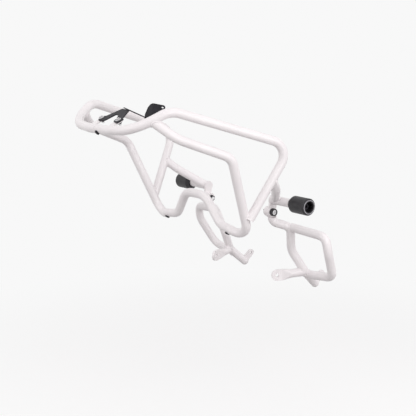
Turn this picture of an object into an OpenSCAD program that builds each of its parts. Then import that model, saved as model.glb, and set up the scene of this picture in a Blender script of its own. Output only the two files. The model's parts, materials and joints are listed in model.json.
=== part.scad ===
// Welded crash bar set: a front hoop with two side loops, a raised bar over
// the wheel, bolted-on lower guard loops and a pair of moulded crash sliders.
// +X is the left side, -Y the front, +Z up. The origin lies midway between the
// two clamp bolts, on the plane of symmetry.

/* [Tube] */
// Outside diameter of every main tube
tube_d = 25; // [22:0.5:28]
// Wall of the tube, seen at the plugged joints
tube_wall = 2; // [1.5:0.25:3]
// Play between a coped tube end and the tube it is welded to
cope_gap = 0.1; // [0.05:0.05:0.3]

/* [Front hoop] */
// Distance from the clamp bolts forward to the front tube
hoop_reach = 464; // [445:1:485]
// Height of the front tube above the clamp bolts
hoop_height = 247; // [235:1:260]
// Straight length of the front tube on each side of the middle
hoop_straight = 42; // [36:1:50]
// Half width at the front corners
corner_half = 165; // [155:1:175]
// Set-back of the front corners behind the front tube
corner_back = 14; // [8:1:24]
// Rise from the front tube to the front corners
corner_rise = 6; // [0:1:12]
// Half width at the upper shoulders
shoulder_half = 208; // [198:1:218]
// Set-back of the shoulders behind the front tube
shoulder_back = 95; // [88:1:104]
// Rise from the front tube to the shoulders
shoulder_rise = 56; // [48:1:64]
// Half width at the rear upper corners
rear_half = 288; // [276:1:300]
// Distance of the rear upper corners ahead of the clamp bolts
rear_ahead = 40; // [28:1:52]
// Height of the rear upper corners above the clamp bolts
rear_height = 201; // [190:1:212]
// Share of the side loop's long leg at which the rear down tube meets it
down_share = 0.78; // [0.74:0.01:0.82]
// How far the down tube stands outside the loop where they meet
down_out = 10; // [6:1:11]
// Length taken off the down tube before that point
down_trim = 8; // [4:1:9]
// Bend radii at the middle, the front corner, the shoulder and the rear corner
hoop_bends = [180, 118, 60, 45];

/* [Side loop] */
// Where the side loop leaves the hoop, as half width, set-back and rise
loop_top = [185, 56, 29];
// Upper bend of the side loop: half width, set-back and rise
loop_neck = [228, 101, -14];
// Half width at the widest bend of the side loop
loop_half = 267; // [255:1:280]
// Distance of that bend ahead of the clamp bolts
loop_ahead = 221; // [210:1:232]
// Height of that bend above the clamp bolts
loop_height = 179; // [168:1:190]
// Half width at the bottom corner of the side loop
sump_half = 220; // [210:1:230]
// Distance of the bottom corner ahead of the clamp bolts
sump_ahead = 126; // [118:1:134]
// Depth of the bottom corner below the clamp bolts
sump_drop = 53; // [46:1:60]
// Bend radii along the side loop
loop_bends = [90, 42, 42, 28];

/* [Bar over the wheel] */
// Half width where the bar turns in from the side loop
knee_half = 164; // [160:1:168]
// Distance of that point ahead of the clamp bolts
knee_ahead = 146; // [140:1:152]
// Depth of that point below the clamp bolts
knee_drop = 35; // [30:1:40]
// Half width at the foot of the arch
arch_foot_half = 109; // [104:1:113]
// Half width at the top of the arch
arch_top_half = 49; // [44:1:54]
// Rise of the arch top above the clamp bolts
arch_rise = 46; // [36:1:56]
// Bend radii at the foot and at the top of the arch
arch_bends = [42, 60];

/* [Plugged joints] */
// Length of the plug inside the front joint
front_plug_len = 60; // [40:2:70]
// Length of the plug inside each joint of the arched bar
arch_plug_len = 36; // [35:1:38]
// Radial play of a plug in its tube
plug_play = 0.1; // [0.05:0.05:0.2]
// Gap left between the tube ends at a joint
joint_gap = 0.5; // [0.2:0.1:1]
// Thread diameter of the joint screws
joint_screw_d = 8; // [6:1:8]
// Head diameter of the joint screws
joint_head_d = 14; // [12:0.5:15]
// How far the front joint's screw looks down from straight ahead
front_screw_tilt = 38; // [0:1:60]
// How far the arched bar's screws look down from straight ahead
arch_screw_tilt = 60; // [30:1:75]
// Distance of those screws from their joints
arch_screw_out = 11.5; // [10:0.5:12]

/* [Carrier] */
// Share of the rear down tube at which the carrier leaves it
carrier_share = 0.44; // [0.4:0.01:0.48]
// Half width at the carrier's bend
carrier_half = 243; // [236:1:250]
// Distance of the carrier's bend ahead of the clamp bolts
carrier_ahead = 54; // [48:1:60]
// Height of the carrier's bend above the clamp bolts
carrier_height = 82; // [76:1:88]
// Bend radius of the carrier
carrier_bend_r = 34; // [28:1:40]
// Diameter of the drilled vent in the carrier
vent_d = 5; // [3:0.5:7]

/* [Slider] */
// Distance of the slider axis behind the clamp bolts
slider_back = 4; // [0:1:8]
// Height of the slider axis above the clamp bolts
slider_height = 35; // [32:1:40]
// Distance of the slider's inner end from the plane of symmetry
slider_inner = 244; // [230:1:256]
// Length of the slider
slider_len = 70; // [60:1:80]
// Diameter of the slider
slider_d = 47; // [42:1:54]
// Length of the taper at the inner end
slider_taper = 11; // [6:1:15]
// Diameter of the inner end face
slider_nose_d = 33; // [30:1:38]
// Width of the chamfer at the outer end
slider_chamfer = 3; // [1:0.5:4]
// Diameter of the recess in the outer end
slider_recess_d = 33; // [28:1:36]
// Depth of the recess
slider_recess_depth = 24; // [15:1:35]
// Thread diameter of the slider's screw
slider_screw_d = 10; // [8:1:12]

/* [Clamp] */
// Distance of the lug plate's outer face from the plane of symmetry
lug_face = 163; // [158:1:168]
// Thickness of the lug plate
lug_t = 6; // [4:0.5:8]
// Radius of the lug plate round the clamp bolt
lug_r = 14; // [13:0.5:16]
// Length of the bush behind the lug plate
bush_len = 18; // [14:1:24]
// Outside diameter of the bush
bush_d = 28; // [26:1:32]
// Thread diameter of the clamp bolt
clamp_bolt_d = 10; // [8:1:12]
// Play of the bolt in its holes, on the diameter
bolt_play = 0.6; // [0.4:0.1:1]

/* [Lower guard] */
// Distance of the main lower tube from the plane of symmetry, under the bush
leg_half = 155; // [152:1:158]
// Distance of the lower tube's first bend behind the clamp bolts
leg_back = 7; // [4:1:10]
// Depth of the first bend below the clamp bolt
leg_drop = 30; // [27:1:33]
// Where the guard loop leaves the lower tube
fork_half = 185; // [180:1:190]
// Distance of the fork behind the clamp bolts
fork_back = 49; // [45:1:53]
// Depth of the fork below the clamp bolts
fork_drop = 45; // [42:1:48]
// Half width at the lower tube's middle bend
waist_half = 164; // [160:1:168]
// Distance of the middle bend behind the clamp bolts
waist_back = 70; // [66:1:74]
// Depth of the middle bend below the clamp bolts
waist_drop = 118; // [112:1:124]
// Half width at the lower tube's last bend
ankle_half = 184; // [180:1:188]
// Distance of the last bend behind the clamp bolts
ankle_back = 107; // [103:1:111]
// Depth of the last bend below the clamp bolts
ankle_drop = 184; // [179:1:189]
// Half width at the guard's upper corner
guard_half = 309; // [295:1:320]
// Distance of the guard's upper corner behind the clamp bolts
guard_back = 70; // [64:1:76]
// Depth of the guard's upper corner
guard_drop = 56; // [50:1:62]
// Half width at the guard's lower corner
toe_half = 286; // [274:1:298]
// Distance of the guard's lower corner behind the clamp bolts
toe_back = 123; // [117:1:129]
// Depth of the guard's lower corner
toe_drop = 184; // [176:1:192]
// Bend radii along the lower tube
leg_bends = [20, 26, 60, 40];
// Bend radii along the guard loop
guard_bends = [24, 70, 36];

/* [Foot] */
// Distance of the foot's front bolt hole from the plane of symmetry
foot_half = 153; // [148:1:158]
// Distance of that hole behind the clamp bolts
foot_back = 28; // [24:1:32]
// Depth of that hole below the clamp bolts
foot_drop = 190; // [185:1:195]
// Half width at the heel, the rounded lower end of the lower tube
heel_half = 172; // [168:1:176]
// Distance of the heel behind the clamp bolts
heel_back = 157; // [148:1:166]
// Depth of the heel below the clamp bolts
heel_drop = 228; // [222:1:234]
// Distance from the last bend down to where the guard loop ends
guard_end = 16; // [14:1:22]
// Height of the foot's flattened front end
foot_tab_h = 33; // [30:1:36]
// Thickness of the flattened front end
foot_tab_t = 7; // [5:0.5:9]
// Length of the flat, from the hole back to the taper
foot_tab_len = 14; // [10:1:20]
// Length of the taper from flat to round
foot_taper = 26; // [20:1:34]
// Diameter of the hole in the flattened end
foot_hole_d = 10.5; // [8.5:0.5:12.5]
// Diameter of the eye at the heel
eye_d = 22; // [19:1:25]
// Thickness of the eye
eye_t = 6; // [4:0.5:8]
// Hole in the eye
eye_hole_d = 8; // [6:0.5:10]
// Distance of the eye's hole behind the heel
eye_reach = 24; // [20:1:28]
// Height of the eye's hole above the heel
eye_rise = 25; // [21:1:29]

/* [Front bracket] */
// Thickness of the bracket sheet
sheet_t = 3; // [2:0.5:4]
// Slope of the bracket's main plate
plate_slope = 26; // [24:0.1:28]
// Length of the main plate up its slope
plate_len = 78; // [74:1:84]
// Distance of the bracket's bolts from the plane of symmetry
bracket_bolt_half = 46; // [42:1:50]
// Distance of the bolts up the slope from the plate's front edge
bracket_bolt_up = 24; // [21:1:27]
// Thread diameter of the bracket's bolts
bracket_bolt_d = 6; // [5:1:8]
// Hole in the bracket's ear
ear_hole_d = 6.5; // [5:0.5:8]
// Distance from the ear's root to its hole
ear_reach = 48.6; // [42:0.2:54]
// Radius of the ear round its hole
ear_r = 7.2; // [6:0.2:9]
// Width of each welded tab under the bracket
tab_w = 22; // [18:1:26]
// Thickness of each welded tab
tab_t = 4; // [3:0.5:5]

/* [Hidden] */
$fn = 48;

coat = [0.95, 0.94, 0.94];
black = [0.12, 0.12, 0.13];
moulded = [0.16, 0.16, 0.17];
zinc = [0.72, 0.72, 0.74];

// A bend stands this much proud of the straights that end this deep inside it.
bend_proud = 0.06;
bend_lap = 0.8;
tube_r = tube_d / 2;
bore_d = tube_d - 2 * tube_wall;

// Bend points of the hoop, from the middle of the front tube to the bottom of the rear down tube.
hoop_0 = [joint_gap / 2, -hoop_reach, hoop_height];
hoop_1 = [hoop_straight, -hoop_reach, hoop_height];
hoop_2 = [corner_half, -hoop_reach + corner_back, hoop_height + corner_rise];
hoop_3 = [shoulder_half, -hoop_reach + shoulder_back, hoop_height + shoulder_rise];
hoop_4 = [rear_half, -rear_ahead, rear_height];

// Bend points of the side loop, from the hoop down to the joint with the arched bar.
loop_0 = [loop_top.x, -hoop_reach + loop_top.y, hoop_height + loop_top.z];
loop_1 = [loop_neck.x, -hoop_reach + loop_neck.y, hoop_height + loop_neck.z];
loop_2 = [loop_half, -loop_ahead, loop_height];
loop_3 = [sump_half, -sump_ahead, -sump_drop];
loop_4 = [knee_half, -knee_ahead, -knee_drop];
arch_1 = [arch_foot_half, -knee_ahead + 4, -knee_drop + 6];
arch_2 = [arch_top_half, -knee_ahead - 6, arch_rise];
joint_at = along(loop_4, arch_1, 22);
hoop_5 = along(loop_2, loop_3, down_share * norm(loop_3 - loop_2)) + [down_out, 0, 0];

hoop_path = [hoop_0, hoop_1, hoop_2, hoop_3, hoop_4, along(hoop_5, hoop_4, down_trim)];
loop_path = [loop_0, loop_1, loop_2, loop_3, loop_4, along(joint_at, loop_4, joint_gap / 2)];
arch_half = [along(joint_at, arch_1, joint_gap / 2), arch_1, arch_2];
arch_path = concat(arch_half, [for (i = [2 : -1 : 0]) flip(arch_half[i])]);

// Slider axis and the carrier that comes down to it.
slider_axis = [0, slider_back, slider_height];
carrier_path = [hoop_4 + (hoop_5 - hoop_4) * carrier_share, [carrier_half, -carrier_ahead, carrier_height],
    slider_axis + [lug_face + tube_r / 2, 0, 0]];

// Lower tube, guard loop and foot.
leg_0 = [leg_half, leg_back / 2, -5];
leg_1 = [leg_half, leg_back, -leg_drop];
leg_2 = [fork_half, fork_back, -fork_drop];
leg_3 = [waist_half, waist_back, -waist_drop];
leg_4 = [ankle_half, ankle_back, -ankle_drop];
heel = [heel_half, heel_back, -heel_drop];
foot_0 = [foot_half, foot_back, -foot_drop];
foot_1 = leg_4;
leg_path = [leg_0, leg_1, leg_2, leg_3, leg_4, heel];
guard_0 = leg_2;
guard_1 = [guard_half, guard_back, -guard_drop];
guard_2 = [guard_half + 4, guard_back + 7, -guard_drop - 42];
guard_3 = [toe_half, toe_back, -toe_drop];
guard_4 = along(leg_4, heel, guard_end);
guard_path = [guard_0, guard_1, guard_2, guard_3, guard_4];
foot_dir = unit(foot_1 - foot_0);
foot_flat_end = foot_0 + foot_dir * foot_tab_len;
foot_round_start = foot_flat_end + foot_dir * foot_taper;

// Clamp stack along X, from the bush outwards.
bush_out = lug_face - lug_t;
bush_in = bush_out - bush_len;
clamp_washer_t = 2.5;
clamp_head_h = 6;
clamp_nut_h = 8;

// Bracket plate: its front edge lies above the front tube.
plate_front = [0, -hoop_reach + tube_r + 3.5, hoop_height + tube_r - 0.1];

// Arm, base and ear of the bracket, each a flat leaf of the one bent sheet.
arm_root = plate_front + [20, 67, 34.2];
arm_dir = unit([0.765, 0.53, -0.365]);
arm_side = unit([-0.622, 0.751, -0.213]);
arm_run = 46.5;
ear_foot = arm_root + arm_dir * arm_run + arm_side * 14.2;
ear_root = ear_foot + [16, 6, 2];
base_side = unit([-0.325, 0.927, -0.185]);
ear_dir = unit([-0.07, 0.85, 0.522]);
ear_up = unit([-0.658, -0.432, 0.617]);
fold_dir = unit(ear_dir * 40.2 + ear_up * 24);
cheek_dir = unit([-0.893, -0.406, -0.195]);
ear_hole_at = ear_root + ear_dir * ear_reach;

function unit(v) = v / norm(v);
function along(a, b, s) = a + unit(b - a) * s;
function flip(v) = [-v.x, v.y, v.z];
function turn(a, b, c) = acos(max(-1, min(1, unit(b - a) * unit(c - b))));
function aim(d) = [0, acos(d.z), atan2(d.y, d.x)];
function angles(x, y, z) = [atan2(y.z, z.z), -asin(x.z), atan2(x.y, x.x)];

// Straight round bar between two points.
module rod(a, b, d) {
    translate(a)
        rotate(aim(unit(b - a)))
            cylinder(d = d, h = norm(b - a));
}

// Bend at b, between the lines a-b and b-c.
module elbow(a, b, c, r, d) {
    u = unit(b - a);
    n = unit(cross(u, unit(c - b)));
    x = -cross(n, u);
    th = turn(a, b, c);
    translate(b - u * r * tan(th / 2) - x * r)
        rotate(angles(x, u, n))
            rotate_extrude(angle = th)
                translate([r, 0])
                    circle(d = d + 2 * bend_proud);
}

// Round bar bent along the points p, with a radius for each inner point.
module run(p, r, d) {
    last = len(p) - 1;
    s = [for (i = [0 : last])
        i == 0 || i == last ? 0 : r[i - 1] * tan(turn(p[i - 1], p[i], p[i + 1]) / 2) - bend_lap];
    for (i = [0 : last - 1])
        rod(along(p[i], p[i + 1], s[i]), along(p[i + 1], p[i], s[i + 1]), d);
    for (i = [1 : last - 1])
        elbow(p[i - 1], p[i], p[i + 1], r[i - 1], d);
}

module hole(a, b, d) {
    rod(along(a, b, -1), along(b, a, -1), d);
}

module both() {
    children();
    mirror([1, 0, 0])
        children();
}

// Directions in which the joint screws look, and the depth of their seats.
function look(tilt) = [0, -cos(tilt), -sin(tilt)];
front_look = look(front_screw_tilt);
arch_look = look(arch_screw_tilt);
screw_seat = tube_r - 0.9;

// Seat and hole for a joint screw that looks along d, out of the tube at point p.
module screw_cut(p, d) {
    rod(p, p + d * (tube_r + 3), joint_screw_d + bolt_play);
    rod(p + d * screw_seat, p + d * (tube_r + 3), joint_head_d + bolt_play);
}

// Joint screws: one through the front plug and one through each arch plug.
front_screw_at = hoop_0 + [front_plug_len / 4, 0, 0];
arch_screw_at = along(joint_at, loop_4, arch_screw_out);

module hoop_tube() {
    difference() {
        run(hoop_path, hoop_bends, tube_d);
        hole(hoop_0 - [0, 0, 0], hoop_0 + [front_plug_len / 2 + 1, 0, 0], bore_d);
        rod(loop_2, loop_3, tube_d + 2 * cope_gap);
        screw_cut(front_screw_at, front_look);
    }
}

module hoop_tube_left() {
    color(coat)
        hoop_tube();
}

module hoop_tube_right() {
    color(coat)
        mirror([1, 0, 0])
            difference() {
                run(hoop_path, hoop_bends, tube_d);
                hole(hoop_0, hoop_0 + [front_plug_len / 2 + 1, 0, 0], bore_d);
                rod(loop_2, loop_3, tube_d + 2 * cope_gap);
            }
}

module front_plug() {
    color(zinc)
        difference() {
            rod([-front_plug_len / 2, -hoop_reach, hoop_height],
                [front_plug_len / 2, -hoop_reach, hoop_height], bore_d - 2 * plug_play);
            hole(front_screw_at - front_look * tube_r, front_screw_at + front_look * tube_r, joint_screw_d);
        }
}

module side_loop() {
    color(coat)
        difference() {
            run([for (i = [0 : 5]) i == 0 ? along(loop_0, loop_1, 4) : loop_path[i]], loop_bends, tube_d);
            run([hoop_1, hoop_2, hoop_3, hoop_3 + (hoop_4 - hoop_3) * 0.3],
                [hoop_bends[1], hoop_bends[2]], tube_d + 2 * cope_gap);
            hole(joint_at, along(joint_at, loop_4, arch_plug_len / 2 + 1), bore_d);
            screw_cut(arch_screw_at, arch_look);
        }
}

module side_loop_left() {
    side_loop();
}

module side_loop_right() {
    mirror([1, 0, 0])
        side_loop();
}

module arched_bar() {
    color(coat)
        difference() {
            run(arch_path, [arch_bends[0], arch_bends[1], arch_bends[1], arch_bends[0]], tube_d);
            both()
                hole(joint_at, along(joint_at, arch_1, arch_plug_len / 2 + 1), bore_d);
        }
}

module arch_plugs() {
    color(zinc)
        both()
            difference() {
                rod(along(joint_at, loop_4, arch_plug_len / 2), along(joint_at, arch_1, arch_plug_len / 2),
                    bore_d - 2 * plug_play);
                hole(arch_screw_at - arch_look * tube_r, arch_screw_at + arch_look * tube_r, joint_screw_d);
            }
}

// Button-head screw with a hexagon socket; p is on the tube axis and d points at the head.
module joint_screw(p, d) {
    head_h = joint_screw_d / 2;
    difference() {
        union() {
            rod(p - d * (bore_d / 2 - 2), p + d * (screw_seat + 1), joint_screw_d - 0.04);
            rod(p + d * (screw_seat + 0.02), p + d * (screw_seat + head_h - 1.2), joint_head_d);
            rod(p + d * (screw_seat + head_h - 1.6), p + d * (screw_seat + head_h), joint_head_d - 4);
        }
        translate(p + d * (screw_seat + head_h - 2.5))
            rotate(aim(d))
                cylinder(d = 5.8, h = 5, $fn = 6);
    }
}

module joint_screws() {
    color(black) {
        joint_screw(front_screw_at, front_look);
        both()
            joint_screw(arch_screw_at, arch_look);
    }
}

module carrier() {
    color(coat)
        difference() {
            run([along(carrier_path[0], carrier_path[1], 4), carrier_path[1],
                along(carrier_path[2], carrier_path[1], 4)], [carrier_bend_r], tube_d);
            rod(hoop_4, hoop_5, tube_d + 2 * cope_gap);
            rod(slider_axis + [bush_in, 0, 0], slider_axis + [slider_inner, 0, 0], tube_d + 2 * cope_gap);
            translate([lug_face - 40 + cope_gap, -100, -20])
                cube([40, 120, 120]);
            rod(along(carrier_path[1], carrier_path[2], 22),
                along(carrier_path[1], carrier_path[2], 22) + [tube_d, 0, 0], vent_d);
        }
}

module carrier_left() {
    carrier();
}

module carrier_right() {
    mirror([1, 0, 0])
        carrier();
}

module stub() {
    color(coat)
        difference() {
            rod(slider_axis + [lug_face + cope_gap, 0, 0], slider_axis + [slider_inner - cope_gap, 0, 0], tube_d);
            rod(slider_axis + [slider_inner - 34, 0, 0], slider_axis + [slider_inner + 1, 0, 0], slider_screw_d);
        }
}

module stub_left() {
    stub();
}

module stub_right() {
    mirror([1, 0, 0])
        stub();
}

// Plate from the stub's inner end down to the clamp bolt, drawn in the plane across X.
module lug_plate() {
    color(coat)
        difference() {
            translate([lug_face - lug_t, 0, 0])
                rotate([90, 0, 90])
                    linear_extrude(lug_t) {
                        circle(r = lug_r);
                        translate([slider_axis.y, slider_axis.z])
                            circle(r = tube_r + 2);
                        polygon([[lug_r - 2, 0], [slider_axis.y + tube_r, slider_axis.z],
                            [slider_axis.y - tube_r, slider_axis.z], [-lug_r + 2, 0]]);
                    }
            rod([bush_in, 0, 0], [lug_face + 1, 0, 0], clamp_bolt_d + bolt_play);
        }
}

module lug_plate_left() {
    lug_plate();
}

module lug_plate_right() {
    mirror([1, 0, 0])
        lug_plate();
}

// Moulded slider, turned about its own axis: z runs outwards.
module slider() {
    color(moulded)
        translate(slider_axis + [slider_inner, 0, 0])
            rotate([0, 90, 0])
                difference() {
                    rotate_extrude($fn = 72)
                        polygon([[0, 0], [slider_nose_d / 2, 0], [slider_d / 2, slider_taper],
                            [slider_d / 2, slider_len - slider_chamfer],
                            [slider_d / 2 - slider_chamfer, slider_len], [0, slider_len]]);
                    translate([0, 0, slider_len - slider_recess_depth])
                        cylinder(d = slider_recess_d, h = slider_recess_depth + 1);
                    translate([0, 0, -1])
                        cylinder(d = slider_screw_d + bolt_play, h = slider_len + 2);
                }
}

module slider_left() {
    slider();
}

module slider_right() {
    mirror([1, 0, 0])
        slider();
}

slider_floor = slider_inner + slider_len - slider_recess_depth;
slider_washer_t = 2;

module slider_washers() {
    color(zinc)
        both()
            difference() {
                rod(slider_axis + [slider_floor, 0, 0], slider_axis + [slider_floor + slider_washer_t, 0, 0],
                    slider_recess_d - 9);
                rod(slider_axis + [slider_floor - 1, 0, 0], slider_axis + [slider_floor + 9, 0, 0],
                    slider_screw_d + bolt_play);
            }
}

module slider_screws() {
    head = slider_floor + slider_washer_t;
    color(black)
        both()
            difference() {
                union() {
                    rod(slider_axis + [slider_inner - 30, 0, 0], slider_axis + [head + 1, 0, 0],
                        slider_screw_d - 0.04);
                    rod(slider_axis + [head, 0, 0], slider_axis + [head + slider_screw_d, 0, 0],
                        slider_screw_d * 1.6);
                }
                translate(slider_axis + [head + slider_screw_d / 2, 0, 0])
                    rotate([0, 90, 0])
                        cylinder(d = slider_screw_d * 0.92, h = slider_screw_d, $fn = 6);
            }
}

module bush() {
    color(coat)
        difference() {
            rod([bush_in, 0, 0], [bush_out, 0, 0], bush_d);
            rod([bush_in - 1, 0, 0], [bush_out + 1, 0, 0], clamp_bolt_d + bolt_play);
        }
}

module bush_left() {
    bush();
}

module bush_right() {
    mirror([1, 0, 0])
        bush();
}

module clamp_washers() {
    color(black)
        both()
            difference() {
                rod([lug_face, 0, 0], [lug_face + clamp_washer_t, 0, 0], clamp_bolt_d * 2.2);
                rod([lug_face - 1, 0, 0], [lug_face + 9, 0, 0], clamp_bolt_d + bolt_play);
            }
}

// Flanged clamp bolt: shank, head and hexagon socket.
module clamp_bolts() {
    head = lug_face + clamp_washer_t;
    color(zinc)
        both()
            difference() {
                union() {
                    rod([bush_in - clamp_nut_h - 3, 0, 0], [head + 1, 0, 0], clamp_bolt_d);
                    rod([head, 0, 0], [head + clamp_head_h, 0, 0], clamp_bolt_d * 1.6);
                }
                translate([head + clamp_head_h / 2, 0, 0])
                    rotate([0, 90, 0])
                        cylinder(d = clamp_bolt_d * 0.8, h = clamp_head_h, $fn = 6);
            }
}

module clamp_nuts() {
    color(black)
        both()
            difference() {
                translate([bush_in - clamp_nut_h, 0, 0])
                    rotate([0, 90, 0])
                        cylinder(d = clamp_bolt_d * 1.8, h = clamp_nut_h, $fn = 6);
                rod([bush_in - 20, 0, 0], [bush_in + 1, 0, 0], clamp_bolt_d + 0.04);
            }
}

module lower_tube() {
    color(coat)
        difference() {
            union() {
                run(leg_path, leg_bends, tube_d);
                translate(heel)
                    sphere(d = tube_d + 2 * bend_proud);
            }
            rod([bush_in - 9, 0, 0], [bush_out + 0.01, 0, 0], bush_d + 2 * cope_gap);
            rod([bush_out, 0, 0], [lug_face + 20, 0, 0], 2 * lug_r + 6);
        }
}

module lower_tube_left() {
    lower_tube();
}

module lower_tube_right() {
    mirror([1, 0, 0])
        lower_tube();
}

module guard_loop() {
    color(coat)
        difference() {
            run([along(guard_0, guard_1, 4), guard_1, guard_2, guard_3, along(guard_4, guard_3, 4)],
                guard_bends, tube_d);
            run(leg_path, leg_bends, tube_d + 2 * cope_gap);
        }
}

module guard_loop_left() {
    guard_loop();
}

module guard_loop_right() {
    mirror([1, 0, 0])
        guard_loop();
}

// Foot tube with its front end pressed flat and drilled.
module foot() {
    up = unit([0, 0, 1] - foot_dir * foot_dir.z);
    side = cross(foot_dir, up);
    color(coat)
        difference() {
            union() {
                rod(foot_round_start + foot_dir * 0.3, along(foot_1, foot_0, 3), tube_d);
                hull() {
                    translate(foot_round_start)
                        rotate(aim(foot_dir))
                            cylinder(d = tube_d + 0.3, h = 1, $fn = 32);
                    translate(foot_flat_end)
                        rotate(angles(foot_dir, up, cross(foot_dir, up)))
                            translate([0, -foot_tab_h / 2, -foot_tab_t / 2])
                                cube([1, foot_tab_h, foot_tab_t]);
                }
                translate(foot_0)
                    rotate(angles(foot_dir, up, cross(foot_dir, up)))
                        translate([0, 0, -foot_tab_t / 2])
                            linear_extrude(foot_tab_t) {
                                circle(d = foot_tab_h);
                                translate([0, -foot_tab_h / 2])
                                    square([foot_tab_len + 0.5, foot_tab_h]);
                            }
            }
            rod(foot_0 - side * 20, foot_0 + side * 20, foot_hole_d);
            run(leg_path, leg_bends, tube_d + 2 * cope_gap);
            rod(guard_4, guard_3, tube_d + 2 * cope_gap);
        }
}

module foot_left() {
    foot();
}

module foot_right() {
    mirror([1, 0, 0])
        foot();
}

// Eye plate welded on the heel, with straight flanks that run up to the round of the eye.
eye_at = heel + [0, eye_reach, eye_rise];
eye_run = unit([eye_reach, eye_rise]);
eye_flank = [eye_run.y, -eye_run.x] * (eye_d / 2 - 0.3);

module eye() {
    color(coat)
        difference() {
            translate([heel.x - eye_t / 2, 0, 0])
                rotate([90, 0, 90])
                    linear_extrude(eye_t) {
                        translate([eye_at.y, eye_at.z])
                            circle(d = eye_d);
                        polygon([[heel.y, heel.z] + eye_flank * 0.8, [eye_at.y, eye_at.z] + eye_flank,
                            [eye_at.y, eye_at.z] - eye_flank, [heel.y, heel.z] - eye_flank * 1.3]);
                    }
            rod(leg_4, heel, tube_d + 2 * cope_gap);
            translate(heel)
                sphere(d = tube_d + 2 * cope_gap + 2 * bend_proud);
            rod(eye_at - [eye_t, 0, 0], eye_at + [eye_t, 0, 0], eye_hole_d);
        }
}

module eye_left() {
    eye();
}

module eye_right() {
    mirror([1, 0, 0])
        eye();
}

// Everything in the plane of the bracket's main plate: x across, y up the slope.
module on_plate() {
    translate(plate_front)
        rotate([plate_slope, 0, 0])
            children();
}

module bracket_tabs() {
    color(coat)
        difference() {
            on_plate()
                for (x = [-bracket_bolt_half, bracket_bolt_half])
                    translate([x, 0, -tab_t - 0.05])
                        linear_extrude(tab_t) {
                            translate([0, bracket_bolt_up])
                                circle(d = tab_w);
                            translate([-tab_w / 2, -24])
                                square([tab_w, bracket_bolt_up + 24]);
                        }
            both()
                run([hoop_0 - [1, 0, 0], hoop_1, hoop_2], [hoop_bends[0]], tube_d + 2 * cope_gap);
            on_plate()
                for (x = [-bracket_bolt_half, bracket_bolt_half])
                    translate([x, bracket_bolt_up, -20])
                        cylinder(d = bracket_bolt_d + bolt_play, h = 40);
        }
}

// Flat piece of sheet at o, drawn in the plane of x and y, with its outer face there.
module leaf(o, x, y) {
    n = unit(cross(x, y));
    translate(o)
        rotate(angles(x, unit(y - x * (x * y)), n))
            translate([0, 0, -sheet_t])
                linear_extrude(sheet_t)
                    children();
}

module front_bracket() {
    bolt_x = bracket_bolt_half;
    bolt_y = bracket_bolt_up;
    color(black)
        difference() {
            union() {
                on_plate()
                    linear_extrude(sheet_t)
                        polygon([[-bolt_x, bolt_y - 11], [13 - bolt_x, bolt_y - 14], [34 - bolt_x, bolt_y - 8],
                            [-5, plate_len - 30], [12, plate_len - 31], [bolt_x - 18, bolt_y + 6],
                            [bolt_x - 11, bolt_y - 9], [bolt_x + 15, bolt_y - 15], [bolt_x + 16, bolt_y + 7],
                            [bolt_x + 4, bolt_y + 13], [30, plate_len - 11], [23, plate_len - 3],
                            [-17, plate_len], [9 - bolt_x, bolt_y + 12], [-bolt_x - 11, bolt_y + 6]]);
                leaf(arm_root + [0, 0, sheet_t], arm_dir, arm_side)
                    polygon([[-2, -2], [arm_run, 14], [arm_run, 40], [-24, 27], [-24, 22]]);
                leaf(ear_foot + [0, 0, sheet_t / 2], unit(ear_root - ear_foot), base_side)
                    polygon([[-2, -1], [norm(ear_root - ear_foot), -1], [norm(ear_root - ear_foot), 4], [-8.8, 25]]);
                leaf(ear_root, fold_dir, cheek_dir)
                    polygon([[-3, -1], [-2, 18], [14, 22.2], [24, 20.5], [37, 18.4], [46, 12.7], [48.2, 6.6],
                        [46.8, 0]]);
                leaf(ear_root, ear_dir, ear_up) {
                    polygon([[-1, -1], [22, -3], [ear_reach - 4, -ear_r + 0.6], [ear_reach + 5, ear_r - 2],
                        [40.2, 24], [36, 22.6]]);
                    translate([ear_reach, 0])
                        circle(r = ear_r);
                }
            }
            rod(ear_hole_at - cross(ear_dir, ear_up) * 8, ear_hole_at + cross(ear_dir, ear_up) * 8, ear_hole_d);
            on_plate()
                for (x = [-bracket_bolt_half, bracket_bolt_half])
                    translate([x, bracket_bolt_up, -20])
                        cylinder(d = bracket_bolt_d + bolt_play, h = 40);
        }
}

module bracket_bolts() {
    color(zinc)
        on_plate()
            for (x = [-bracket_bolt_half, bracket_bolt_half])
                translate([x, bracket_bolt_up, 0]) {
                    translate([0, 0, -tab_t - 9])
                        cylinder(d = bracket_bolt_d, h = tab_t + 10 + sheet_t);
                    translate([0, 0, sheet_t])
                        cylinder(d = bracket_bolt_d * 1.8, h = bracket_bolt_d * 0.7, $fn = 6);
                }
}

module bracket_nuts() {
    color(zinc)
        on_plate()
            for (x = [-bracket_bolt_half, bracket_bolt_half])
                translate([x, bracket_bolt_up, -tab_t - 0.05 - bracket_bolt_d * 0.8])
                    difference() {
                        cylinder(d = bracket_bolt_d * 1.8, h = bracket_bolt_d * 0.8, $fn = 6);
                        translate([0, 0, -1])
                            cylinder(d = bracket_bolt_d + 0.04, h = 10);
                    }
}

hoop_tube_left();
hoop_tube_right();
front_plug();
side_loop_left();
side_loop_right();
arched_bar();
arch_plugs();
joint_screws();
carrier_left();
carrier_right();
stub_left();
stub_right();
lug_plate_left();
lug_plate_right();
slider_left();
slider_right();
slider_screws();
slider_washers();
bush_left();
bush_right();
clamp_bolts();
clamp_washers();
clamp_nuts();
lower_tube_left();
lower_tube_right();
guard_loop_left();
guard_loop_right();
foot_left();
foot_right();
eye_left();
eye_right();
bracket_tabs();
front_bracket();
bracket_bolts();
bracket_nuts();
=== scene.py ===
import json
import math

import bmesh
import bpy
from mathutils import Matrix, Vector


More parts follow.
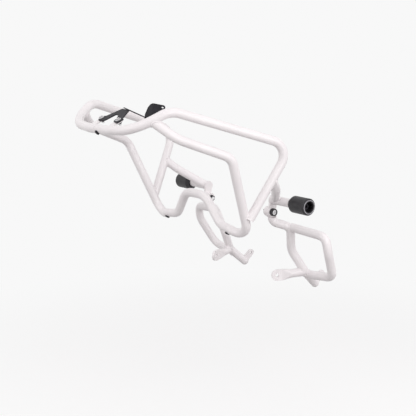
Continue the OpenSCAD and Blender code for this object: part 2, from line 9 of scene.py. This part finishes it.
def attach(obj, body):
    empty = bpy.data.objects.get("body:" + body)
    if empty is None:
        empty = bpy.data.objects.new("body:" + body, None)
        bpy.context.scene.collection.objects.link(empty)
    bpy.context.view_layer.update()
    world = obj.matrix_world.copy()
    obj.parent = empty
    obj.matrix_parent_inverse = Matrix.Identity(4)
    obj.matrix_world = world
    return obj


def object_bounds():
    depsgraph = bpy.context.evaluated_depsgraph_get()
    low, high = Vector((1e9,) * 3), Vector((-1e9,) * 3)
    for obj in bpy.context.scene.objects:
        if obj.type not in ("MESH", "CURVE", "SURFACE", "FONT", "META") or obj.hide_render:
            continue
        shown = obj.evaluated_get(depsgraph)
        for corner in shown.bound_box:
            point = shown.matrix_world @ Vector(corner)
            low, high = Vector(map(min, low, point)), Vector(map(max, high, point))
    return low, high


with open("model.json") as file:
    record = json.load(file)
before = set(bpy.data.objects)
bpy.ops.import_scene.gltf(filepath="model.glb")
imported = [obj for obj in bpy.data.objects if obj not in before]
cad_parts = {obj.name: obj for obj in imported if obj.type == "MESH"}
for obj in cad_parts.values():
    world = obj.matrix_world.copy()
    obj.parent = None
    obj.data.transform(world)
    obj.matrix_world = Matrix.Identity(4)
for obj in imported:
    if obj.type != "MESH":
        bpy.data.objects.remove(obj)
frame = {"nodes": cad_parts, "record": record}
cad_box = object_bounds()
bpy.context.scene.view_settings.view_transform = "Standard"
nodes = frame["nodes"]

MM = 1000                       # millimetres in a metre: shapes are worked out in millimetres
CAD_EDGE = math.radians(32)     # edges of the CAD solids sharper than this stay sharp
TRIM_EDGE = math.radians(40)    # the same for the pieces added here


# Materials

def new_material(name):
    """An empty node material, its tree and its Principled shader."""
    m = bpy.data.materials.new(name)
    m.use_nodes = True
    return m, m.node_tree, m.node_tree.nodes["Principled BSDF"]


def noise(tree, scale, detail=3.0, rough=0.5):
    """Noise in object coordinates, which are metres in the part's frame."""
    coord = tree.nodes.new("ShaderNodeTexCoord")
    tex = tree.nodes.new("ShaderNodeTexNoise")
    tex.inputs["Scale"].default_value = scale
    tex.inputs["Detail"].default_value = detail
    tex.inputs["Roughness"].default_value = rough
    tree.links.new(coord.outputs["Object"], tex.inputs["Vector"])
    return tex.outputs["Fac"]


def ramp(tree, source, stops):
    """Colours that follow the source from one stop to the next."""
    r = tree.nodes.new("ShaderNodeValToRGB")
    while len(r.color_ramp.elements) < len(stops):
        r.color_ramp.elements.new(0.5)
    for e, (at, colour) in zip(r.color_ramp.elements, stops):
        e.position = at
        e.color = (*colour, 1)
    tree.links.new(source, r.inputs["Fac"])
    return r.outputs["Color"]


def spread(tree, source, low, high):
    """A value that follows the source between low and high."""
    m = tree.nodes.new("ShaderNodeMapRange")
    m.inputs["To Min"].default_value = low
    m.inputs["To Max"].default_value = high
    tree.links.new(source, m.inputs["Value"])
    return m.outputs["Result"]


def bump(tree, shader, height, strength, distance):
    b = tree.nodes.new("ShaderNodeBump")
    b.inputs["Strength"].default_value = strength
    b.inputs["Distance"].default_value = distance
    tree.links.new(height, b.inputs["Height"])
    tree.links.new(b.outputs["Normal"], shader.inputs["Normal"])


def surface(name, tone, stops, rough, grain, relief, **settings):
    """A material whose colour, roughness and relief each follow a noise of their own.

    tone and grain are the noises of the colour and of the relief: scale, detail, roughness.
    rough is the scale of the roughness noise and the two values it runs between.
    relief is the strength and the distance of the bump. The settings are one-value inputs.
    """
    m, tree, shader = new_material(name)
    tree.links.new(ramp(tree, noise(tree, *tone), stops), shader.inputs["Base Color"])
    scale, low, high = rough
    tree.links.new(spread(tree, noise(tree, scale), low, high), shader.inputs["Roughness"])
    for socket, value in settings.items():
        shader.inputs[socket.replace("_", " ")].default_value = value
    bump(tree, shader, noise(tree, *grain), *relief)
    return m


looks = {
    # Glossy white powder coat with a faint orange-peel surface and a warm, slightly uneven tone.
    "coat": surface(
        "white_powder_coat",
        tone=(14, 2), stops=[(0.3, (0.835, 0.792, 0.805)), (0.7, (0.865, 0.827, 0.836))],
        rough=(160, 0.26, 0.38), grain=(420, 1, 0.4), relief=(0.05, 0.00015),
        Coat_Weight=0.2, Coat_Roughness=0.28),
    # Satin black coating of the bracket and the dark screws.
    "black_steel": surface(
        "black_coated_steel",
        tone=(45, 3), stops=[(0.3, (0.009, 0.008, 0.011)), (0.7, (0.022, 0.020, 0.026))],
        rough=(180, 0.44, 0.6), grain=(900, 3, 0.5), relief=(0.2, 0.00012),
        Specular_IOR_Level=0.22),
    # Fine-grained black moulded plastic of slightly uneven tone.
    "moulded": surface(
        "black_moulded_nylon",
        tone=(60, 4, 0.6), stops=[(0.3, (0.010, 0.009, 0.011)), (0.75, (0.027, 0.025, 0.030))],
        rough=(220, 0.38, 0.56), grain=(1500, 4, 0.7), relief=(0.35, 0.0002),
        Specular_IOR_Level=0.42),
    "zinc": surface(
        "bright_zinc_plate",
        tone=(90, 3), stops=[(0.3, (0.62, 0.61, 0.62)), (0.7, (0.78, 0.77, 0.78))],
        rough=(260, 0.24, 0.42), grain=(1200, 2), relief=(0.1, 0.0001),
        Metallic=0.9),
}
# The slider's plastic painted pale at the edge of the recess: a painted highlight on that edge.
painted_highlight_nylon = surface(
    "nylon_edge_painted_highlight",
    tone=(240, 4, 0.65), stops=[(0.25, (0.20, 0.19, 0.21)), (0.7, (0.42, 0.41, 0.44))],
    rough=(400, 0.3, 0.5), grain=(1800, 3, 0.6), relief=(0.25, 0.00015))
# Zinc plate darkened as painted shade, for the nuts and washers that sit in shade.
shaded_zinc_plate = surface(
    "zinc_plate_painted_shade",
    tone=(120, 3), stops=[(0.3, (0.018, 0.018, 0.020)), (0.7, (0.040, 0.039, 0.043))],
    rough=(260, 0.3, 0.46), grain=(1200, 2), relief=(0.1, 0.0001),
    Metallic=0.5)

look_of = {part["node"]: looks[part["material_slot"]] for part in frame["record"]["subparts"]}
# The nuts and the slider's washers take the zinc darkened as painted shade.
look_of.update(bracket_nuts=shaded_zinc_plate, slider_washers=shaded_zinc_plate)
for name, obj in nodes.items():
    obj.data.materials.clear()
    obj.data.materials.append(look_of[name])
    for p in obj.data.polygons:
        p.use_smooth = True
    obj.data.set_sharp_from_angle(angle=CAD_EDGE)


# Places in millimetres, all on the left side; the right side mirrors them.
# The paths are the corner points of the tubes' axes, before the bends round them.
TUBE_R = 12.5
HOOP = [(42, -464, 247), (165, -450, 253), (208, -369, 303), (288, -40, 201), (241.97, -143.25, 4.97)]
HOOP_BENDS = (118, 60, 45)
LOOP = [(185, -408, 276), (228, -363, 233), (267, -221, 179), (220, -126, -53), (164, -146, -35)]
LOOP_BENDS = (90, 42, 42)
CARRIER = [(267.03, -87.04, 111.7), (243, -54, 82), (169.25, 4, 35)]
STUB = [(163.1, 4, 35), (244, 4, 35)]
LEG = [(155, 3.5, -5), (155, 7, -30), (185, 49, -45), (164, 70, -118), (184, 107, -184), (172, 157, -228)]
LEG_BENDS = (20, 26, 60, 40)
GUARD = [(185, 49, -45), (309, 70, -56), (313, 77, -98), (286, 123, -184), (181.23, 118.56, -194.17)]
FOOT = [(153, 28, -190), (184, 107, -184)]
BUSH, BUSH_R = [(139, 0, 0), (157, 0, 0)], 14
BUSH_ENTRY = (155, 0, 0)        # where the lower tube's axis runs into the bush
BUSH_FACE_X = 156.5             # the bush's seam stops here, short of the lug plate
LUG_FACE = (163.4, 4, 35)       # where the stub stands on the lug plate
EYE_SIDES_X = (168.9, 175.1)    # just outside the two faces of the eye plate
EYE_ARC = (-4, 96)              # first angle and sweep of the eye's seam round the heel, in degrees
EYE_REACH = 40                  # from the heel's middle to a place outside the tube
TAB_X, TAB_WIDTH, TAB_THICK = 35, 22, 4     # inner edge, width and thickness of a bracket tab
TAB_EDGE = (-454.97, 255.94)    # y and z of a point on the tab's upper face
TAB_SPAN_Y = (-456, -440)       # inside and outside the front tube, along the tab
TAB_ROUND = 0.2                 # how far the seam swings out at the tab's rounded edges
TILT = math.radians(26)         # slope of the tabs and of the bracket that lies on them
SLIDER_MOUTH = (314, 4, 35)
CLAMP_HEAD = (165.6, 0, 0)      # base of the cup round the clamp bolt's head
BRACKET_BOLT_X = 46
HEAD_SEAT, NUT_SEAT = (-427.74, 272.62), (-424.65, 266.28)   # y and z under the head and under the nut

BEND_STEP = 0.06                # radians between the points of a bend
SEAM_POINTS = 72                # round a branch
SEAM_STEPS = 60                 # along a branch, to find the first step inside the main tube
SEAM_ROUNDS, PLATE_ROUNDS = 12, 22      # halvings that then find its surface
SHORTEST_RUN = 4                # fewer points than this aren't worth a bead
BEAD_R, EYE_BEAD_R, TAB_BEAD_R = 2.0, 2.1, 1.7


# Paths, seams and weld beads

def turns(n):
    """The angles of n even steps round a circle."""
    return [2 * math.pi * i / n for i in range(n)]


def cross_axes(direction):
    """The unit direction and two axes square to it."""
    d = Vector(direction).normalized()
    e = d.orthogonal().normalized()
    return d, e, d.cross(e)


def rounded(points, radii=()):
    """The path as a close row of points, with each inner corner rounded to its bend radius."""
    p = [Vector(v) for v in points]
    out = [p[0]]
    for a, b, c, r in zip(p, p[1:], p[2:], radii):
        u, v = (b - a).normalized(), (c - b).normalized()
        turn = u.angle(v)
        cut = r * math.tan(turn / 2)
        centre = b + (v - u).normalized() * (r / math.cos(turn / 2))
        start = b - u * cut - centre
        axis = u.cross(v).normalized()
        steps = max(2, math.ceil(turn / BEND_STEP))
        out += [centre + Matrix.Rotation(turn * i / steps, 3, axis) @ start for i in range(steps + 1)]
    return out + [p[-1]]


def path_distance(q, path):
    best = math.inf
    for a, b in zip(path, path[1:]):
        ab = b - a
        t = max(0.0, min(1.0, (q - a).dot(ab) / ab.length_squared))
        best = min(best, (q - a - ab * t).length)
    return best


def meeting(at, inside, outside, path, r, rounds):
    """The point where the line at(t) crosses the tube's surface, by halving from inside to outside."""
    for _ in range(rounds):
        middle = (inside + outside) / 2
        if path_distance(at(middle), path) < r:
            inside = middle
        else:
            outside = middle
    return at(inside)


def seam(start, end, path, r_branch, r_main, past=2.0):
    """Where a straight branch that runs from start to end meets the main tube; None where it misses."""
    start, run = Vector(start), Vector(end) - Vector(start)
    d, e, g = cross_axes(run)
    far = run.length + past
    curve = []
    for f in turns(SEAM_POINTS):
        edge = start + (e * math.cos(f) + g * math.sin(f)) * r_branch

        def at(t):
            return edge + d * t

        hit = None
        for k in range(SEAM_STEPS):
            outside, inside = far * k / SEAM_STEPS, far * (k + 1) / SEAM_STEPS
            if path_distance(at(inside), path) < r_main:
                hit = meeting(at, inside, outside, path, r_main, SEAM_ROUNDS)
                break
        curve.append(hit)
    return curve


def end_seam(start, end, path, r_branch, r_main, lines=12, steps=63, play=0.5):
    """Where the flat end of a branch meets the main tube, as a row of points across that end."""
    c, d = Vector(end), (Vector(end) - Vector(start)).normalized()
    nearest = min(path, key=lambda q: (q - c).length)
    towards = (nearest - c - d * (nearest - c).dot(d)).normalized()
    aside = d.cross(towards)
    row = []
    for k in range(-lines, lines + 1):
        for i in range(-steps, steps):
            q = c + aside * (r_branch * k / lines) + towards * (r_branch * i / steps)
            if path_distance(q, path) < r_main:
                if (q - c).length < r_branch + play:
                    row.append(q)
                break
    return row


def circle(centre, normal, r):
    c, (_, e, g) = Vector(centre), cross_axes(normal)
    return [c + (e * math.cos(f) + g * math.sin(f)) * r for f in turns(SEAM_POINTS)]


def runs_of(curve):
    """Splits a ring with misses into its open stretches; a whole ring comes back closed."""
    n = len(curve)
    if all(p is not None for p in curve):
        return [(curve, True)]
    if all(p is None for p in curve):
        return []
    first = next(i for i in range(n) if curve[i] is None)
    out, row = [], []
    for i in range(1, n + 1):
        p = curve[(first + i) % n]
        if p is None:
            if len(row) >= SHORTEST_RUN:
                out.append((row, False))
            row = []
        else:
            row.append(p)
    return out


def resample(points, closed, step):
    """The same line with its points about a step apart."""
    pts = points + [points[0]] if closed else points
    lengths = [0.0]
    for a, b in zip(pts, pts[1:]):
        lengths.append(lengths[-1] + (b - a).length)
    n = max(4, round(lengths[-1] / step))
    out, k = [], 0
    for i in range(n if closed else n + 1):
        want = lengths[-1] * i / n
        while k < len(pts) - 2 and lengths[k + 1] < want:
            k += 1
        span = lengths[k + 1] - lengths[k]
        out.append(pts[k].lerp(pts[k + 1], (want - lengths[k]) / span if span else 0))
    return out


def add_bead(bm, points, closed, r=BEAD_R, sides=10, step=1.1, ripple=0.16, pitch=3.3):
    """Sweeps a round bead along the points, with the overlapping scales of a weld."""
    pts = resample(points, closed, step)
    n = len(pts)
    rings = []
    up = None
    for i in range(n):
        before = pts[i - 1] if closed or i else pts[i]
        after = pts[(i + 1) % n] if closed or i < n - 1 else pts[i]
        t = (after - before).normalized()
        up = t.orthogonal().normalized() if up is None else (up - t * up.dot(t)).normalized()
        side = t.cross(up)
        scale = 1 + ripple * (1 - ((i * step) % pitch) / pitch * 2)
        if not closed:
            # An open bead tapers over the last two rings at each end.
            scale *= min(1.0, 0.35 + 0.65 * min(i, n - 1 - i) / 2)
        rings.append([bm.verts.new((pts[i] + (up * math.cos(f) + side * math.sin(f)) * r * scale) / MM)
                      for f in turns(sides)])
    if closed:
        # The carried frame comes back turned, so the last ring joins the first at its nearest corner.
        shift = min(range(sides), key=lambda s: (rings[-1][0].co - rings[0][s].co).length)
    for i in range(n if closed else n - 1):
        a, b = rings[i], rings[(i + 1) % n]
        s = shift if closed and i == n - 1 else 0
        for k in range(sides):
            bm.faces.new((a[k], a[(k + 1) % sides], b[(k + 1 + s) % sides], b[(k + s) % sides]))
    if not closed:
        bm.faces.new(list(reversed(rings[0])))
        bm.faces.new(rings[-1])


# Finishing a piece

def finish_piece(name, bm, material):
    bmesh.ops.recalc_face_normals(bm, faces=bm.faces)
    mesh = bpy.data.meshes.new(name)
    bm.to_mesh(mesh)
    bm.free()
    for p in mesh.polygons:
        p.use_smooth = True
    mesh.set_sharp_from_angle(angle=TRIM_EDGE)
    mesh.materials.append(material)
    obj = bpy.data.objects.new(name, mesh)
    bpy.context.scene.collection.objects.link(obj)
    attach(obj, "root")


def both_sides(name, bm, material):
    """The piece on the left, and its mirror image on the right."""
    right = bm.copy()
    for v in right.verts:
        v.co.x = -v.co.x
    finish_piece(name + "_left", bm, material)
    finish_piece(name + "_right", right, material)


# Weld beads where the tubes, the lug plates and the eyes are joined.
hoop_path = [Vector((0, *HOOP[0][1:]))] + rounded(HOOP, HOOP_BENDS)
loop_path = rounded(LOOP, LOOP_BENDS)
leg_path = rounded(LEG, LEG_BENDS)
bush_seam = seam(LEG[1], BUSH_ENTRY, rounded(BUSH), TUBE_R, BUSH_R)
seams = [
    seam(LOOP[1], LOOP[0], hoop_path, TUBE_R, TUBE_R),
    seam(HOOP[3], HOOP[4], loop_path, TUBE_R, TUBE_R, past=0.0),
    seam(CARRIER[1], CARRIER[0], hoop_path, TUBE_R, TUBE_R),
    seam(CARRIER[1], CARRIER[2], rounded(STUB), TUBE_R, TUBE_R),
    [p if p is not None and p.x < BUSH_FACE_X else None for p in bush_seam],
    seam(GUARD[1], GUARD[0], leg_path, TUBE_R, TUBE_R),
    seam(GUARD[3], GUARD[4], leg_path, TUBE_R, TUBE_R),
    seam(FOOT[0], FOOT[1], leg_path, TUBE_R, TUBE_R),
    circle(LUG_FACE, (1, 0, 0), TUBE_R),
]
welds = bmesh.new()
for ring in seams:
    for stretch, closed in runs_of(ring):
        add_bead(welds, stretch, closed)
across = end_seam(HOOP[3], HOOP[4], loop_path, TUBE_R, TUBE_R)
if len(across) >= SHORTEST_RUN:
    add_bead(welds, across, False)
_, heel_y, heel_z = LEG[-1]
for x in EYE_SIDES_X:
    row = []
    for k in range(25):
        f = math.radians(EYE_ARC[0] + EYE_ARC[1] * k / 24)

        def on_eye(t):
            return Vector((x, heel_y + t * math.cos(f), heel_z + t * math.sin(f)))

        row.append(meeting(on_eye, 0.0, EYE_REACH, leg_path, TUBE_R, PLATE_ROUNDS))
    add_bead(welds, row, False, r=EYE_BEAD_R)
both_sides("weld_beads", welds, looks["coat"])

# Weld beads round the two tabs on the front tube: along the upper face, round the outer edge,
# back along the lower face and round the inner edge, as pairs of x and depth below the upper face.
along = [TAB_X + TAB_WIDTH * k / 16 for k in range(17)]
tab_section = ([(x, 0.0) for x in along]
               + [(along[-1] + TAB_ROUND, depth) for depth in (1.3, 2.7)]
               + [(x, TAB_THICK) for x in reversed(along)]
               + [(along[0] - TAB_ROUND, depth) for depth in (2.7, 1.3)])
tab_welds = bmesh.new()
for side in (-1, 1):
    ring = []
    for x, depth in tab_section:
        def on_tab(y):
            top = TAB_EDGE[1] + math.tan(TILT) * (y - TAB_EDGE[0])
            return Vector((x, y + math.sin(TILT) * depth, top - math.cos(TILT) * depth))

        q = meeting(on_tab, *TAB_SPAN_Y, hoop_path, TUBE_R, PLATE_ROUNDS)
        ring.append(Vector((side * q.x, q.y, q.z)))
    add_bead(tab_welds, ring, True, r=TAB_BEAD_R)
finish_piece("tab_weld_beads", tab_welds, looks["coat"])


def revolve(bm, profile, centre, axis=(1, 0, 0), start=(0, 1, 0), n=72):
    """Closed ring about the axis; the profile is pairs of radius and distance along it, in millimetres."""
    c, d, e = Vector(centre), Vector(axis), Vector(start)
    g = d.cross(e)
    rings = [[bm.verts.new((c + (e * math.cos(f) + g * math.sin(f)) * r + d * h) / MM) for r, h in profile]
             for f in turns(n)]
    m = len(profile)
    for i in range(n):
        a, b = rings[i], rings[(i + 1) % n]
        for k in range(m):
            bm.faces.new((a[k], a[(k + 1) % m], b[(k + 1) % m], b[k]))


# Rounded lip round the mouth of each slider's recess.
lip = bmesh.new()
revolve(lip, [(14.6, -7), (14.6, -0.6), (15.0, 0.1), (17.9, 0.9), (18.2, 0.02), (16.45, 0.02), (16.45, -7)],
        SLIDER_MOUTH)
both_sides("slider_lip", lip, looks["moulded"])

# Its rim, of oval section, in the pale plastic that paints the highlight on the recess's edge.
rim = bmesh.new()
revolve(rim, [(18.35 + 1.15 * math.cos(f), 0.55 + 0.85 * math.sin(f)) for f in turns(14)], SLIDER_MOUTH)
both_sides("slider_rim", rim, painted_highlight_nylon)

# Black cup round the head of each clamp bolt.
cup = bmesh.new()
revolve(cup, [(8.15, 0), (8.15, 6.6), (7.1, 6.6), (7.1, 7.3),
              (9.0, 7.6), (10.1, 7.1), (10.6, 6.2), (10.9, 0)], CLAMP_HEAD)
both_sides("clamp_cup", cup, looks["moulded"])

# Washers of the bracket's bolts, on both faces of the sheet. The section is pairs of radius and height:
# it starts 0.1 mm inside what it lies on, and its outer edge is chamfered.
bolt_axis = (0, -math.sin(TILT), math.cos(TILT))
section = [(3.2, -0.1), (3.2, 1.3), (7.6, 1.3), (8.2, 0.9), (8.2, -0.1)]
head_washers, nut_washers = bmesh.new(), bmesh.new()
for x in (-BRACKET_BOLT_X, BRACKET_BOLT_X):
    revolve(head_washers, section, (x, *HEAD_SEAT), bolt_axis, (1, 0, 0), 48)
    revolve(nut_washers, [(r, -h) for r, h in section], (x, *NUT_SEAT), bolt_axis, (1, 0, 0), 48)
finish_piece("bracket_head_washers", head_washers, looks["zinc"])
# The washers under the nuts take the zinc darkened as painted shade.
finish_piece("bracket_nut_washers", nut_washers, shaded_zinc_plate)


# Camera, as the photograph has it: the aim point is the image's middle.
AIM = Vector((0.0, -0.109, -0.001))
AZIMUTH, ELEVATION, DISTANCE = math.radians(55.08), math.radians(10.06), 2.6404
FOCAL_PIXELS, IMAGE_PIXELS, SENSOR_MM = 908.0, 416.0, 36.0
back = Vector((math.sin(AZIMUTH) * math.cos(ELEVATION), -math.cos(AZIMUTH) * math.cos(ELEVATION),
               math.sin(ELEVATION)))
cam_data = bpy.data.cameras.new("camera")
cam = bpy.data.objects.new("camera", cam_data)
bpy.context.scene.collection.objects.link(cam)
cam.location = AIM + back * DISTANCE
cam.rotation_euler = back.to_track_quat("Z", "Y").to_euler()
cam_data.sensor_width = SENSOR_MM
cam_data.lens = FOCAL_PIXELS / IMAGE_PIXELS * SENSOR_MM
cam_data.clip_start = 0.05
cam_data.clip_end = 100
bpy.context.scene.camera = cam


# Floor, backdrop and light
FLOOR_DROP, FLOOR_SIZE = 0.35, 30       # metres below the bars, and metres across
WHITE = (0.938, 0.938, 0.938, 1)        # the photograph's background, linear


def seen_directly(tree):
    """1 for the camera's rays and for those of reflections, 0 for the rest."""
    rays = tree.nodes.new("ShaderNodeLightPath")
    either = tree.nodes.new("ShaderNodeMath")
    either.operation = "MAXIMUM"
    tree.links.new(rays.outputs["Is Camera Ray"], either.inputs[0])
    tree.links.new(rays.outputs["Is Glossy Ray"], either.inputs[1])
    return either.outputs[0]


def shader_node(tree, kind, colour):
    s = tree.nodes.new(kind)
    s.inputs["Color"].default_value = colour
    return s


def blend(tree, share, first, second):
    """The first shader where the share is 0, the second where it is 1."""
    mix = tree.nodes.new("ShaderNodeMixShader")
    tree.links.new(share, mix.inputs["Fac"])
    tree.links.new(first.outputs[0], mix.inputs[1])
    tree.links.new(second.outputs[0], mix.inputs[2])
    return mix


def floor_material():
    """Pale floor. To the camera it glows as the backdrop does, and near the object it also keeps its
    own light and shadow."""
    m, t, principled = new_material("plain_pale_floor")
    t.nodes.remove(principled)
    matt = shader_node(t, "ShaderNodeBsdfDiffuse", (0.31, 0.30, 0.30, 1))
    glow = shader_node(t, "ShaderNodeEmission", WHITE)
    lit = shader_node(t, "ShaderNodeBsdfDiffuse", (0.95, 0.95, 0.95, 1))
    coord = t.nodes.new("ShaderNodeTexCoord")
    reach = t.nodes.new("ShaderNodeVectorMath")
    reach.operation = "LENGTH"
    t.links.new(coord.outputs["Object"], reach.inputs[0])
    # The share of real light on the floor: 0.6 within 0.4 m of the middle, none beyond 1.6 m.
    share = t.nodes.new("ShaderNodeMapRange")
    share.interpolation_type = "SMOOTHSTEP"
    share.inputs["From Min"].default_value = 0.4
    share.inputs["From Max"].default_value = 1.6
    share.inputs["To Min"].default_value = 0.6
    share.inputs["To Max"].default_value = 0.0
    t.links.new(reach.outputs["Value"], share.inputs["Value"])
    shown = blend(t, share.outputs["Result"], glow, lit)
    mix = blend(t, seen_directly(t), matt, shown)
    t.links.new(mix.outputs[0], t.nodes["Material Output"].inputs["Surface"])
    return m


bpy.ops.mesh.primitive_plane_add(size=FLOOR_SIZE, location=(0, 0, cad_box[0][2] - FLOOR_DROP))
floor = bpy.context.active_object
floor.name = "floor"
floor.data.materials.append(floor_material())

world = bpy.data.worlds.new("studio")
bpy.context.scene.world = world
world.use_nodes = True
wt = world.node_tree
sky = wt.nodes["Background"]
sky.inputs["Color"].default_value = (1.0, 0.985, 0.988, 1)
sky.inputs["Strength"].default_value = 0.74
backdrop = shader_node(wt, "ShaderNodeBackground", WHITE)
backdrop.inputs["Strength"].default_value = 1.0
sky_or_backdrop = blend(wt, seen_directly(wt), sky, backdrop)
wt.links.new(sky_or_backdrop.outputs[0], wt.nodes["World Output"].inputs["Surface"])

# Soft lamps: place and size in metres, power in watts. Each looks at the middle of the bars.
LIT_POINT = Vector((0, -0.1, 0))
for name, place, size, watts in [
        ("top_softbox", (0.4, -0.5, 2.6), (2.6, 2.6), 5),
        ("key_softbox", (2.8, -0.1, 0.7), (3.2, 2.4), 47),
        ("fill_softbox", (-0.6, -3.0, 0.8), (3.2, 2.4), 26)]:
    lamp = bpy.data.lights.new(name, "AREA")
    lamp.shape = "RECTANGLE"
    lamp.size, lamp.size_y = size
    lamp.energy = watts
    obj = bpy.data.objects.new(name, lamp)
    bpy.context.scene.collection.objects.link(obj)
    obj.location = place
    obj.rotation_euler = (Vector(place) - LIT_POINT).to_track_quat("Z", "Y").to_euler()
    obj.visible_camera = False
